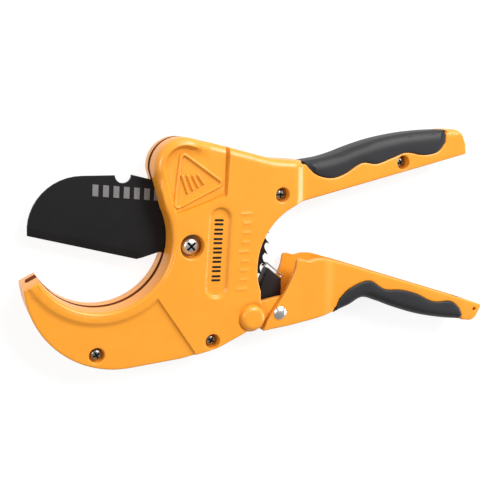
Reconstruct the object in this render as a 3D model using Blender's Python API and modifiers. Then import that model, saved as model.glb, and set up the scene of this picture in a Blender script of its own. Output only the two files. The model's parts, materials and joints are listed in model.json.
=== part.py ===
"""Ratcheting pipe cutter for plastic pipe up to 64 mm, lying on its back with the blade fully open.

Dimensions below are millimetres and become metres through MM. The design datum is the blade's
pivot axis at the middle of the root empty: X runs along the tool from jaw to handles, Y runs from
the moving handle to the fixed one, and Z is the thickness, from the back face up to the front face.
"""

import math

import bmesh
import bpy
from mathutils import Matrix, Vector

MM = 0.001
FACET = 9.0  # degrees of arc per facet on outlines
CLEAR = 0.3  # gap between neighbouring pieces
CASTING_WALL = 2.6

# Stack through the thickness: back face 0, front face BODY_TOP.
BODY_TOP = 25.0
PARTING = 10.5
PARTING_GAP = 0.15
SLOT = (8.6, 12.4)
BLADE_FACES = (9.5, 11.5)
GRIP_CORE = (4.0, 21.0)
CHANNEL = (2.5, 24.5)
HANDLE_THIN = (4.2, 22.8)
EAR_FRONT = (17.8, 21.0)
EAR_REAR = (4.0, 7.2)
BOSS_CAP_TOP = 27.4

# Axes, as points in the plane of the tool. The blade's pivot is the datum.
HANDLE_AXIS = (34.2, -42.7)
PAWL_AXIS = (51.5, -41.8)

# Jaw and hook.
JAW_CENTRE = (-47.0, 5.5)
JAW_RADIUS = 36.3
HOOK_CENTRE = (-37.5, -13.5)
HOOK_RADIUS = 49.3
HEAD_CENTRE = (-2.8, 41.5)
HEAD_RADIUS = 15.9
BACK_CENTRE = (75.0, -16.0)
BACK_RADIUS = 37.4
BOSS_RADIUS = 8.2
BOSS_CAP_RADIUS = 7.3

# Blade and ratchet.
BLADE_REACH = 82.8
TOOTH_TIP_RADIUS = 50.5
TOOTH_DEPTH = 2.7
TOOTH_PITCH = 7.0  # degrees
TOOTH_COUNT = 11
FIRST_TOOTH = 2.5  # degrees, the tooth nearest the fixed handle with the blade open
BLADE_TRAVEL = 42.0  # degrees, six teeth
NOTCH_CENTRE = (-32.6, 38.2)
NOTCH_RADIUS = 4.4

# Fasteners.
PIVOT_SHANK_RADIUS = 3.0
PIVOT_HEAD_RADIUS = 4.9
PIVOT_COUNTERBORE = (6.6, 18.6)  # radius, floor height
SCREW_COUNTERBORE_RADIUS = 4.1
SCREW_HEAD_RADIUS = 3.2
SCREW_SHANK_RADIUS = 1.6
HOUSING_SCREWS = {
    # centre, floor of the counterbore
    "housing_screw_1": ((-52.4, -53.5), 20.0),
    "housing_screw_2": ((10.8, -53.5), 20.0),
    "housing_screw_3": ((52.4, 25.0), 20.0),
    "housing_screw_4": ((131.9, 39.9), 16.5),
}
PIN_RADIUS = 3.0
RIVET_RADIUS = 2.2
LANYARD_HOLE = (189.4, -55.2)
LANYARD_RADIUS = 1.2


# ---------------------------------------------------------------- materials

def material(name, colour, roughness, metallic=0.0):
    made = bpy.data.materials.new(name)
    made.use_nodes = True
    shader = made.node_tree.nodes["Principled BSDF"]
    shader.inputs["Base Color"].default_value = (*colour, 1.0)
    shader.inputs["Roughness"].default_value = roughness
    shader.inputs["Metallic"].default_value = metallic
    made.diffuse_color = (*colour, 1.0)
    return made


# ---------------------------------------------------------------- outlines

def polar(centre, radius, degrees):
    angle = math.radians(degrees)
    return (centre[0] + radius * math.cos(angle), centre[1] + radius * math.sin(angle))


def arc(centre, radius, start, end):
    """Points along an arc, both ends included. It runs clockwise when end is below start."""
    steps = max(2, math.ceil(abs(end - start) / FACET))
    return [polar(centre, radius, start + (end - start) * i / steps) for i in range(steps + 1)]


def fillet(before, corner, after, radius):
    """The arc that rounds one corner of a polygon."""
    corner_point = Vector(corner)
    to_before = (Vector(before) - corner_point).normalized()
    to_after = (Vector(after) - corner_point).normalized()
    half = to_before.angle(to_after) / 2
    reach = radius / math.tan(half)
    centre = corner_point + (to_before + to_after).normalized() * (radius / math.sin(half))
    first = corner_point + to_before * reach - centre
    last = corner_point + to_after * reach - centre
    turn = first.angle_signed(last)
    steps = max(2, math.ceil(abs(math.degrees(turn)) / (2 * FACET)))
    spins = [Matrix.Rotation(-turn * i / steps, 2) for i in range(steps + 1)]
    return [tuple(centre + spin @ first) for spin in spins]


def outline(*corners):
    """A closed polygon from (x, y) points and (x, y, radius) rounded corners, anticlockwise."""
    points = []
    for i, corner in enumerate(corners):
        if len(corner) == 2:
            points.append(corner)
            continue
        before = corners[i - 1]
        after = corners[(i + 1) % len(corners)]
        points.extend(fillet(before[:2], corner[:2], after[:2], corner[2]))
    return points


def curve_through(points, steps=3):
    """A smooth open curve through every point, as a Catmull-Rom spline."""
    padded = [points[0], *points, points[-1]]
    found = []
    for p0, p1, p2, p3 in zip(padded, padded[1:], padded[2:], padded[3:]):
        for i in range(steps):
            t = i / steps
            found.append(tuple(
                0.5 * (2 * b + (c - a) * t + (2 * a - 5 * b + 4 * c - d) * t ** 2
                       + (3 * b - a - 3 * c + d) * t ** 3)
                for a, b, c, d in zip(p0, p1, p2, p3)
            ))
    return found + [points[-1]]


def circle(centre, radius, facets=24):
    return [polar(centre, radius, 360 * i / facets) for i in range(facets)]


# ---------------------------------------------------------------- solids

class Model:
    """Holds the two collections, the parent of each body and the helpers that make solids."""

    def __init__(self):
        self.parts = bpy.data.collections.new("pipe_cutter")
        self.cutters = bpy.data.collections.new("cutters")
        for collection in (self.parts, self.cutters):
            bpy.context.scene.collection.children.link(collection)

    def empty(self, name, datum, parent=None):
        """The empty that carries one moving body. Its place in the datum's frame is kept on it."""
        made = bpy.data.objects.new(name, None)
        made.empty_display_size = 0.01
        made["datum"] = (*datum, 0.0)
        self.parts.objects.link(made)
        made.location = parent_origin(made)
        if parent:
            made.parent = parent
            made.location -= parent_origin(parent)
        return made

    def keep(self, mesh, name, body, look, smooth=30):
        """Adds a mesh, whose points are in the datum's frame, as a named piece of one body."""
        made = bpy.data.objects.new(name, mesh)
        mesh.transform(Matrix.Translation(-parent_origin(body)))
        mesh.materials.clear()
        mesh.materials.append(look)
        mesh.shade_smooth()
        mesh.set_sharp_from_angle(angle=math.radians(smooth))
        self.parts.objects.link(made)
        made.parent = body
        return made

    def cutter(self, mesh, body):
        made = bpy.data.objects.new("cutter", mesh)
        mesh.transform(Matrix.Translation(-parent_origin(body)))
        self.cutters.objects.link(made)
        made.parent = body
        made.hide_render = True
        made.display_type = "WIRE"
        return made

    def boolean(self, target, meshes, operation):
        for mesh in meshes:
            step = target.modifiers.new(operation.lower(), "BOOLEAN")
            step.operation = operation
            step.object = self.cutter(mesh, target.parent)

    def cut(self, target, *meshes):
        self.boolean(target, meshes, "DIFFERENCE")

    def join(self, target, *meshes):
        self.boolean(target, meshes, "UNION")


def parent_origin(body):
    """Where a body's empty sits in the datum's frame, in metres."""
    return Vector(body["datum"]) * MM


def evaluated(guide):
    """A guide object's evaluated mesh, with near points made one. The guide is removed."""
    bpy.context.scene.collection.objects.link(guide)
    graph = bpy.context.evaluated_depsgraph_get()
    mesh = bpy.data.meshes.new_from_object(guide.evaluated_get(graph))
    bpy.data.objects.remove(guide)
    edit = bmesh.new()
    edit.from_mesh(mesh)
    bmesh.ops.remove_doubles(edit, verts=edit.verts, dist=1e-6)
    edit.to_mesh(mesh)
    edit.free()
    return mesh


def plate(points, bottom, top, rounding=0.0, rounded_ends=("top",), segments=2):
    """A flat piece: an outline filled and extruded between two heights, its rims rounded."""
    curve = bpy.data.curves.new("outline", "CURVE")
    curve.dimensions = "2D"
    curve.fill_mode = "BOTH"
    curve.extrude = (top - bottom) / 2 * MM
    spline = curve.splines.new("POLY")
    spline.points.add(len(points) - 1)
    for place, (x, y) in zip(spline.points, points):
        place.co = (x * MM, y * MM, 0, 1)
    spline.use_cyclic_u = True
    mesh = evaluated(bpy.data.objects.new("outline", curve))
    bpy.data.curves.remove(curve)
    edit = bmesh.new()
    edit.from_mesh(mesh)
    bmesh.ops.dissolve_limit(edit, angle_limit=math.radians(0.5), verts=edit.verts, edges=edit.edges)
    bmesh.ops.translate(edit, verts=edit.verts, vec=(0, 0, (top + bottom) / 2 * MM))
    bmesh.ops.recalc_face_normals(edit, faces=edit.faces)
    if rounding:
        ends = {"top": top, "bottom": bottom}
        heights = [ends[end] * MM for end in rounded_ends]
        rims = [
            edge for edge in edit.edges
            if any(all(abs(v.co.z - height) < 1e-6 for v in edge.verts) for height in heights)
        ]
        bmesh.ops.bevel(edit, geom=rims, offset=rounding * MM, segments=segments, profile=0.5,
                        affect="EDGES", clamp_overlap=True)
    bmesh.ops.triangulate(edit, faces=[f for f in edit.faces if len(f.verts) > 4])
    edit.to_mesh(mesh)
    edit.free()
    return mesh


def cylinder(centre, radius, bottom, top, facets=24):
    mesh = bpy.data.meshes.new("cylinder")
    edit = bmesh.new()
    bmesh.ops.create_cone(
        edit, cap_ends=True, segments=facets, radius1=radius * MM, radius2=radius * MM,
        depth=(top - bottom) * MM,
        matrix=Matrix.Translation(Vector((*centre, (top + bottom) / 2)) * MM),
    )
    edit.to_mesh(mesh)
    edit.free()
    return mesh


def block(low, high):
    mesh = bpy.data.meshes.new("block")
    edit = bmesh.new()
    size = [(b - a) * MM for a, b in zip(low, high)]
    middle = Vector([(a + b) / 2 for a, b in zip(low, high)]) * MM
    bmesh.ops.create_cube(
        edit, size=1.0, matrix=Matrix.Translation(middle) @ Matrix.Diagonal((*size, 1))
    )
    edit.to_mesh(mesh)
    edit.free()
    return mesh


def ramp(profile, y_low, y_high):
    """A prism along Y: its profile is a list of (x, z) points."""
    mesh = plate([(x, z) for x, z in profile], y_low, y_high)
    # Stand the plate up, so that its outline's second axis becomes Z and its thickness runs along Y.
    mesh.transform(Matrix(((1, 0, 0, 0), (0, 0, 1, 0), (0, 1, 0, 0), (0, 0, 0, 1))))
    mesh.flip_normals()
    return mesh


def turned(profile, centre, steps=24):
    """A turned solid. Its profile is a list of (radius, z) points, down the outer side."""
    outer = bpy.data.meshes.new("profile")
    closing = [] if profile[0][0] == 0 else [(len(profile) - 1, 0)]
    edges = [(i, i + 1) for i in range(len(profile) - 1)] + closing
    outer.from_pydata([(r * MM, 0, z * MM) for r, z in profile], edges, [])
    guide = bpy.data.objects.new("profile", outer)
    screw = guide.modifiers.new("turn", "SCREW")
    screw.steps = steps
    screw.render_steps = steps
    screw.use_merge_vertices = True
    screw.merge_threshold = 1e-5
    mesh = evaluated(guide)
    mesh.transform(Matrix.Translation(Vector((*centre, 0)) * MM))
    return mesh


def ring(centre, inner, outer, bottom, top, steps=24):
    return turned([(outer, top), (outer, bottom), (inner, bottom), (inner, top)], centre, steps)


def cross_recess(centre, reach, width, bottom, top):
    """The two crossed slots of a Phillips recess, as cutters."""
    x, y = centre
    half = width / 2
    return [
        block((x - reach, y - half, bottom), (x + reach, y + half, top)),
        block((x - half, y - reach, bottom), (x + half, y + reach, top)),
    ]


# ---------------------------------------------------------------- outlines of the tool

def casing_outline():
    """The jaw, hook and head of the casing, with the core of the fixed handle."""
    return outline(
        *arc(HOOK_CENTRE, HOOK_RADIUS, 182, 272),
        (-6.0, -61.3),
        (13.5, -58.0, 30.0),
        *arc(HANDLE_AXIS, BOSS_RADIUS, -108, 30),
        (39.6, -33.5, 3.0),
        *arc(BACK_CENTRE, BACK_RADIUS, 199, 101),
        (177.4, 43.7, 1.5),
        (176.4, 49.6),
        (172.2, 58.9, 6.5),
        (162.4, 58.5),
        (162.0, 56.2),
        *curve_through([(160.0, 56.0), (134.0, 54.2), (113.0, 51.2), (96.0, 46.6), (84.0, 42.8),
                        (72.0, 41.2), (66.4, 41.0)], 2),
        (65.8, 43.2),
        (48.0, 44.6, 30.0),
        (14.0, 53.9, 40.0),
        *arc(HEAD_CENTRE, HEAD_RADIUS, 80, 184),
        *arc(JAW_CENTRE, JAW_RADIUS, 24, -152),
    )


FIXED_GRIP_TOP = [(161.6, 58.4), (148.0, 58.0), (132.0, 56.6), (115.0, 53.8), (100.0, 49.8),
                  (90.0, 46.6), (80.0, 44.4), (66.2, 43.6)]
FIXED_GRIP_WAVE = [(66.2, 43.0), (74.0, 35.4), (84.0, 32.7), (93.0, 34.8), (104.0, 40.5),
                   (114.0, 39.7), (125.0, 43.0), (134.0, 45.6), (146.0, 43.9), (156.0, 45.4),
                   (161.3, 51.0)]


def fixed_grip_outline():
    return curve_through(FIXED_GRIP_TOP, 2) + curve_through(FIXED_GRIP_WAVE, 3)


LOWER_EDGE = [(41.6, -51.4), (57.9, -50.1), (73.2, -48.1), (86.9, -45.5)]
MOVING_GRIP_FLOOR = [(87.2, -46.2), (97.5, -43.2), (106.8, -39.4), (117.0, -42.6), (128.7, -47.6),
                     (146.4, -54.0), (164.4, -58.4), (178.0, -60.7)]
MOVING_GRIP_WAVE = [(179.6, -58.0), (176.5, -52.4), (169.8, -47.9), (157.0, -46.8),
                    (144.3, -40.6), (132.6, -37.0), (121.2, -35.4), (110.5, -29.2), (98.1, -32.1),
                    (90.5, -38.2)]


def moving_grip_outline():
    return curve_through(MOVING_GRIP_FLOOR, 2) + curve_through(MOVING_GRIP_WAVE, 3)


def channel_outline():
    """The wide front of the moving handle, seen from the side."""
    return outline(
        *LOWER_EDGE,
        *curve_through([(86.9, -15.2), (80.4, -13.2), (74.5, -12.7), (69.2, -14.2), (65.0, -12.0),
                        (62.2, -12.6), (61.0, -18.0), (59.4, -21.8), (55.0, -30.1), (47.3, -41.0),
                        (43.6, -46.6)], 3),
    )


def lever_outline():
    """The slimmer rear of the moving handle, its underside set back for the grip."""
    return outline(
        (80.0, -46.9),
        (86.2, -45.6),
        (87.6, -43.6),
        *curve_through([(97.5, -40.9), (107.0, -37.0), (117.0, -40.2), (128.7, -45.2),
                        (146.4, -51.6), (164.4, -56.0), (179.0, -58.6)], 2),
        (180.0, -61.2),
        (189.6, -62.9, 6.0),
        (195.3, -53.0, 1.5),
        (94.0, -17.4, 30.0),
        (80.0, -14.6),
    )


# ---------------------------------------------------------------- casing

def slot_cutters():
    """The blade's slot: the ratchet disc, the head's open side, the hook up to its tip."""
    sweep_end = 174 + BLADE_TRAVEL
    hook = outline(
        (-6.0, -34.0),
        (4.0, 0.0),
        *arc((0, 0), BLADE_REACH + 0.8, 160, sweep_end + 0.8),
    )
    head = outline((-60.0, 30.0), (-6.0, 30.0), (-6.0, 70.0), (-60.0, 70.0))
    tip = outline(*arc(HOOK_CENTRE, HOOK_RADIUS - 2.4, 172, 222), (-60.0, -30.0), (-60.0, -5.0))
    return [
        plate(circle((0, 0), TOOTH_TIP_RADIUS + 0.9, 60), *SLOT),
        plate(hook, *SLOT),
        plate(head, *SLOT),
        plate(tip, *SLOT),
    ]


def ear_pocket(bottom, top):
    """The room for the moving handle's ears around its pivot, open towards the handle."""
    points = outline(
        *arc(HANDLE_AXIS, BOSS_RADIUS - 0.6, 110, 250),
        (36.0, -60.0),
        (62.0, -60.0),
        (62.0, -20.0),
        (36.0, -20.0),
    )
    return plate(points, bottom, top)


def emblem_recess():
    """The sunken field of the warning sign on the head: straight walls on its right and below."""
    points = outline(
        (-10.0, 16.2),
        (19.8, 26.0, 1.0),
        (22.3, 51.0),
        (18.0, 50.6),
        (2.0, 54.0, 10.0),
        *arc(HEAD_CENTRE, HEAD_RADIUS - 5.0, 90, 176),
    )
    return plate(points, BODY_TOP - 1.0, BODY_TOP + 1)


def name_pocket():
    """The sunken stadium beside the pivot."""
    upper, lower, radius = (16.0, 14.0), (13.4, -23.0), 6.3
    tilt = math.degrees(math.atan2(upper[1] - lower[1], upper[0] - lower[0])) - 90
    points = arc(upper, radius, tilt, tilt + 180) + arc(lower, radius, tilt + 180, tilt + 360)
    return plate(points, BODY_TOP - 0.8, BODY_TOP + 1)


def handle_hollows(bottom, top):
    """Two pockets inside the fixed handle, one either side of its screw."""
    return [
        plate(outline((72.0, 24.5), (124.0, 36.0), (124.0, 48.5), (98.0, 42.5), (72.0, 37.0)),
              bottom, top),
        plate(outline((139.5, 39.5), (170.0, 46.0), (164.0, 53.0), (139.5, 51.2)), bottom, top),
    ]


def casting_pockets(bottom, top):
    """What the die leaves hollow behind the faces: one pocket each in head, back and hook."""
    head = outline(
        (-4.0, 13.0),
        (12.0, 12.0),
        (33.0, 14.0),
        (44.0, 32.0),
        (44.0, 40.0),
        (14.0, 48.0),
        *arc(HEAD_CENTRE, HEAD_RADIUS - 5.0, 85, 185),
        (-8.5, 20.0),
    )
    back = outline(
        (-8.0, -14.0),
        (-8.0, -45.0),
        (8.0, -44.0),
        (24.0, -35.5),
        (32.5, -29.0),
        (33.0, 7.5),
        (12.0, 6.0),
        (8.0, -12.0),
    )
    hook = outline(
        (-67.0, -40.0),
        (-58.0, -45.0),
        (-46.0, -46.0),
        (-42.0, -57.0),
        (-25.0, -57.0),
        (-13.0, -50.0),
        (-13.0, -31.0),
        *arc(JAW_CENTRE, JAW_RADIUS + 5.5, 300, 240),
    )
    return [plate(points, bottom, top) for points in (head, back, hook)]


def handle_step(face, handle_face):
    """What is cut away where the head drops over a short slope to the slimmer handle."""
    beyond = face + (face - handle_face) * 0.5
    return ramp([(61.5, beyond), (61.5, face), (67.0, handle_face), (190.0, handle_face),
                 (190.0, beyond)], 0, 75)


def front_shell(model, body, look):
    floor = PARTING + PARTING_GAP
    shell = model.keep(plate(casing_outline(), floor, BODY_TOP, 2.0), "front_shell", body, look)
    model.cut(shell, handle_step(BODY_TOP, GRIP_CORE[1]))
    model.join(shell, cylinder(HANDLE_AXIS, BOSS_CAP_RADIUS, BODY_TOP - 3, BOSS_CAP_TOP, 32))
    model.cut(shell, *slot_cutters(), ear_pocket(floor - 1, EAR_FRONT[1] + 0.4))
    model.cut(shell, cylinder((0, 0), PIVOT_COUNTERBORE[0], PIVOT_COUNTERBORE[1], BODY_TOP + 1, 32))
    model.cut(shell, cylinder((0, 0), PIVOT_SHANK_RADIUS + CLEAR, floor - 1, BODY_TOP))
    model.cut(shell, cylinder(HANDLE_AXIS, PIN_RADIUS + CLEAR, floor - 1, BODY_TOP - 1.2))
    model.cut(shell, emblem_recess(), name_pocket())
    model.cut(shell, *handle_hollows(floor - 1, GRIP_CORE[1] - CASTING_WALL))
    model.cut(shell, *casting_pockets(floor - 1, BODY_TOP - 1.0 - CASTING_WALL))
    for centre, ledge in HOUSING_SCREWS.values():
        model.cut(shell, cylinder(centre, SCREW_SHANK_RADIUS + CLEAR, floor - 1, ledge + 1, 16))
        model.cut(shell, cylinder(centre, SCREW_COUNTERBORE_RADIUS, ledge, BODY_TOP + 3))


def rear_shell(model, body, look):
    top = PARTING - PARTING_GAP
    base = plate(casing_outline(), 0, top, 2.0, ("bottom",))
    shell = model.keep(base, "rear_shell", body, look)
    model.cut(shell, handle_step(0, GRIP_CORE[0]))
    model.cut(shell, *slot_cutters(), ear_pocket(EAR_REAR[0] - 0.4, top + 1))
    # A hexagonal pocket keeps the pivot nut from turning.
    model.cut(shell, cylinder((0, 0), 6.2, -1, 5.4, 6))
    model.cut(shell, cylinder((0, 0), PIVOT_SHANK_RADIUS + CLEAR, -1, top + 1))
    model.cut(shell, cylinder(HANDLE_AXIS, PIN_RADIUS + CLEAR, -1, top + 1))
    model.cut(shell, cylinder(HANDLE_AXIS, 4.9, -1, 2.0))
    model.cut(shell, *handle_hollows(GRIP_CORE[0] + CASTING_WALL, top + 1))
    model.cut(shell, *casting_pockets(CASTING_WALL, top + 1))
    for centre, _ in HOUSING_SCREWS.values():
        model.cut(shell, cylinder(centre, SCREW_SHANK_RADIUS + CLEAR, 5.0, top + 1, 16))


def fixed_grip(model, body, look):
    grip = model.keep(
        plate(fixed_grip_outline(), GRIP_CORE[0] - 1.4, GRIP_CORE[1] + 1.4, 1.0, ("top", "bottom"), 1),
        "fixed_grip", body, look,
    )
    core = outline(
        (62.0, 10.0),
        (180.0, 30.0),
        (180.0, 56.5),
        (160.0, 56.3),
        *curve_through([(134.0, 54.5), (113.0, 51.5), (96.0, 46.9), (84.0, 43.1), (72.0, 41.5),
                        (62.0, 41.3)], 2),
    )
    model.cut(grip, plate(core, GRIP_CORE[0] - CLEAR, GRIP_CORE[1] + CLEAR))


# ---------------------------------------------------------------- fasteners

def housing_screws(model, body, look):
    for name, (centre, ledge) in HOUSING_SCREWS.items():
        head_floor = ledge + CLEAR
        profile = [
            (0, head_floor + 2.0), (SCREW_HEAD_RADIUS * 0.6, head_floor + 1.8),
            (SCREW_HEAD_RADIUS, head_floor + 1.0), (SCREW_HEAD_RADIUS, head_floor),
            (SCREW_SHANK_RADIUS, head_floor), (SCREW_SHANK_RADIUS, 5.8), (0, 5.4),
        ]
        screw = model.keep(turned(profile, centre, 20), name, body, look)
        model.cut(screw, *cross_recess(centre, 1.7, 0.8, head_floor + 0.9, head_floor + 3))


def pivot_fasteners(model, body, steel, zinc):
    seat = PIVOT_COUNTERBORE[1] + CLEAR
    washer_top = seat + 0.9
    model.keep(ring((0, 0), PIVOT_SHANK_RADIUS + CLEAR, 5.4, seat, washer_top), "spring_washer",
               body, zinc)
    under = washer_top + 0.2
    profile = [
        (0, under + 3.6), (2.2, under + 3.5), (3.9, under + 2.8), (PIVOT_HEAD_RADIUS, under + 1.4),
        (PIVOT_HEAD_RADIUS, under), (PIVOT_SHANK_RADIUS, under), (PIVOT_SHANK_RADIUS, 1.0),
        (PIVOT_SHANK_RADIUS - 0.5, 0.5), (0, 0.5),
    ]
    screw = model.keep(turned(profile, (0, 0), 32), "blade_pivot_screw", body, steel)
    model.cut(screw, *cross_recess((0, 0), 2.9, 1.3, under + 1.3, under + 5))
    nut = cylinder((0, 0), 5.7, 0.6, 5.0, 6)
    nut = model.keep(nut, "blade_pivot_nut", body, zinc)
    model.cut(nut, cylinder((0, 0), PIVOT_SHANK_RADIUS + CLEAR, 0, 6))
    gap = 0.2
    for name, low in (("thrust_washer_rear", SLOT[0] + gap), ("thrust_washer_front", BLADE_FACES[1] + gap)):
        model.keep(ring((0, 0), PIVOT_SHANK_RADIUS + CLEAR, 9.0, low, low + 0.5), name, body, zinc)


def handle_pin(model, body, look):
    profile = [
        (0, BODY_TOP - 1.6), (PIN_RADIUS - 0.5, BODY_TOP - 1.6), (PIN_RADIUS, BODY_TOP - 2.2),
        (PIN_RADIUS, 1.7), (4.6, 1.7), (4.6, 0.6), (0, 0.6),
    ]
    model.keep(turned(profile, HANDLE_AXIS), "handle_pivot_pin", body, look)


def return_spring(model, body, look):
    """The torsion spring round the handle's pivot, with one leg along the casing."""
    turns, radius, wire, start = 4, 4.1, 0.4, 13.2
    curve = bpy.data.curves.new("spring", "CURVE")
    curve.dimensions = "3D"
    curve.bevel_depth = wire * MM
    curve.bevel_resolution = 1
    curve.use_fill_caps = True
    facets = 12
    coil = []
    for i in range(turns * facets + 1):
        x, y = polar(HANDLE_AXIS, radius, 200 + 360 * i / facets)
        coil.append((x, y, start + 0.95 * i / facets))
    end = Vector(coil[-1])
    leg = end + Vector((math.sin(math.radians(200)), -math.cos(math.radians(200)), 0)) * -1.8
    points = coil + [tuple(leg)]
    spline = curve.splines.new("POLY")
    spline.points.add(len(points) - 1)
    for place, point in zip(spline.points, points):
        place.co = (*(Vector(point) * MM), 1)
    mesh = evaluated(bpy.data.objects.new("spring", curve))
    model.keep(mesh, "handle_return_spring", body, look)


# ---------------------------------------------------------------- blade

def ratchet_edge():
    """The saw-shaped rear of the blade. Each tooth is a hook whose flat side faces away from the head."""
    points = []
    for i in range(TOOTH_COUNT):
        tip = FIRST_TOOTH - i * TOOTH_PITCH
        root = TOOTH_TIP_RADIUS - TOOTH_DEPTH
        points.append(polar((0, 0), root, tip + 0.80 * TOOTH_PITCH))
        points.append(polar((0, 0), root + 0.4, tip + 0.45 * TOOTH_PITCH))
        points.append(polar((0, 0), TOOTH_TIP_RADIUS, tip))
        points.append(polar((0, 0), root + 0.9, tip + 0.06 * TOOTH_PITCH))
    return points


def blade_outline():
    last_tooth = FIRST_TOOTH - (TOOTH_COUNT - 1) * TOOTH_PITCH
    top_of_notch = arc(NOTCH_CENTRE, NOTCH_RADIUS, 358, 182)
    return outline(
        (-82.3, 9.4),
        (-26.7, -7.0, 0.8),
        (-13.2, -3.6, 3.0),
        (-9.0, -9.0, 2.0),
        polar((0, 0), TOOTH_TIP_RADIUS - 8, last_tooth - 3),
        polar((0, 0), TOOTH_TIP_RADIUS - TOOTH_DEPTH, last_tooth - 3),
        *reversed(ratchet_edge()),
        polar((0, 0), TOOTH_TIP_RADIUS - 4.5, FIRST_TOOTH + 6),
        (12.0, 26.0, 20.0),
        (-19.4, 35.6),
        *top_of_notch,
        (-82.6, 39.0, 28.0),
    )


def blade(model, body, look, bronze):
    made = model.keep(plate(blade_outline(), *BLADE_FACES), "blade", body, look)
    model.cut(made, cylinder((0, 0), 5.0, 5, 15))
    # The cutting edge is ground from both faces.
    tip, heel = Vector((-82.3, 9.4)), Vector((-26.7, -7.0))
    along = (heel - tip).normalized()
    across = Vector((-along.y, along.x))
    middle = sum(BLADE_FACES) / 2
    for face in BLADE_FACES:
        side = 1 if face > middle else -1
        profile = [(-0.5, middle + 0.15 * side), (4.0, face + 0.05 * side), (4.0, face + 2 * side),
                   (-0.5, face + 2 * side)]
        model.cut(made, bevel_wedge(profile, tip, along, across, 62.0))
    model.keep(ring((0, 0), PIVOT_SHANK_RADIUS + CLEAR, 4.7, *BLADE_FACES), "blade_bushing", body,
               bronze)


def bevel_wedge(profile, start, along, across, length):
    """A prism along one edge of the blade. Its profile is (distance from the edge, z) points."""
    mesh = plate(profile, -8.0, length)
    frame = Matrix((
        (across.x, 0, along.x, start.x * MM),
        (across.y, 0, along.y, start.y * MM),
        (0, 1, 0, 0),
        (0, 0, 0, 1),
    ))
    mesh.transform(frame)
    if frame.determinant() < 0:
        mesh.flip_normals()
    return mesh


# ---------------------------------------------------------------- moving handle

def ear_outline():
    return outline(
        *arc(HANDLE_AXIS, 6.8, 90, 270),
        (44.0, -50.6),
        (56.0, -46.0),
        (56.0, -33.0),
        (48.0, -34.0),
    )


def channel_hollow():
    """The inside of the handle's wide front, open in front and towards the fixed handle."""
    return outline(
        (20.0, -60.0),
        (39.0, -60.0),
        (41.0, -47.6),
        (60.0, -46.4),
        (75.0, -44.4),
        (89.0, -40.5),
        (89.0, -5.0),
        (20.0, -5.0),
    )


def lever_hollow():
    """The trough inside the slimmer rear of the handle."""
    return outline(
        (80.0, -42.8),
        (96.0, -37.8),
        (107.0, -33.8),
        (128.7, -42.0),
        (146.4, -48.4),
        (164.4, -52.6),
        (183.0, -55.4),
        (186.0, -40.0),
        (80.0, -2.0),
    )


def moving_handle(model, body, look, bronze):
    base = plate(channel_outline(), *CHANNEL, 1.5, ("top", "bottom"))
    handle = model.keep(base, "moving_handle", body, look)
    # The wide front slopes down to the slimmer lever on both faces.
    for face, thin in ((CHANNEL[1], HANDLE_THIN[1]), (CHANNEL[0], HANDLE_THIN[0])):
        side = 1 if face > PARTING else -1
        slope = [(80.5, face + side), (80.5, face), (86.7, thin - 0.2 * side),
                 (90.0, thin - 0.2 * side), (90.0, face + side)]
        model.cut(handle, ramp(slope, -60, 0))
    model.join(handle, plate(lever_outline(), *HANDLE_THIN, 1.5, ("top", "bottom")))
    model.cut(handle, plate(channel_hollow(), CHANNEL[0] + 3.0, CHANNEL[1] - 3.0))
    model.cut(handle, plate(lever_hollow(), HANDLE_THIN[0] + 3.0, HANDLE_THIN[1] - 3.0))
    for ear in (EAR_FRONT, EAR_REAR):
        model.join(handle, plate(ear_outline(), *ear))
    for ear in (EAR_FRONT, EAR_REAR):
        model.cut(handle, cylinder(HANDLE_AXIS, 4.4, ear[0] - 1, ear[1] + 1))
    model.cut(handle, cylinder(PAWL_AXIS, RIVET_RADIUS + CLEAR, 0, 26, 16))
    model.cut(handle, cylinder(LANYARD_HOLE, LANYARD_RADIUS, 0, 26, 16))
    for name, ear in (("handle_bush_front", EAR_FRONT), ("handle_bush_rear", EAR_REAR)):
        model.keep(ring(HANDLE_AXIS, PIN_RADIUS + CLEAR, 4.1, *ear), name, body, bronze)


def moving_grip(model, body, look):
    grip = model.keep(
        plate(moving_grip_outline(), HANDLE_THIN[0] - 1.4, HANDLE_THIN[1] + 1.4, 1.0,
              ("top", "bottom"), 1),
        "moving_grip", body, look,
    )
    core = outline(
        (80.0, -44.0),
        *curve_through([(87.6, -43.9), (97.5, -41.2), (107.0, -37.3), (117.0, -40.5),
                        (128.7, -45.5), (146.4, -51.9), (164.4, -56.3), (179.0, -58.9)], 2),
        (190.0, -60.8),
        (190.0, -10.0),
        (80.0, -10.0),
    )
    model.cut(grip, plate(core, HANDLE_THIN[0] - CLEAR, HANDLE_THIN[1] + CLEAR))


def pawl_rivet(model, body, look):
    front, rear = CHANNEL[1] + CLEAR, CHANNEL[0] - CLEAR
    profile = [
        (0, front + 1.5), (1.8, front + 1.3), (3.0, front + 0.7), (3.5, front),
        (RIVET_RADIUS, front), (RIVET_RADIUS, rear), (3.4, rear), (2.8, rear - 0.9),
        (0, rear - 1.3),
    ]
    model.keep(turned(profile, PAWL_AXIS), "pawl_rivet", body, look)


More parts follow.
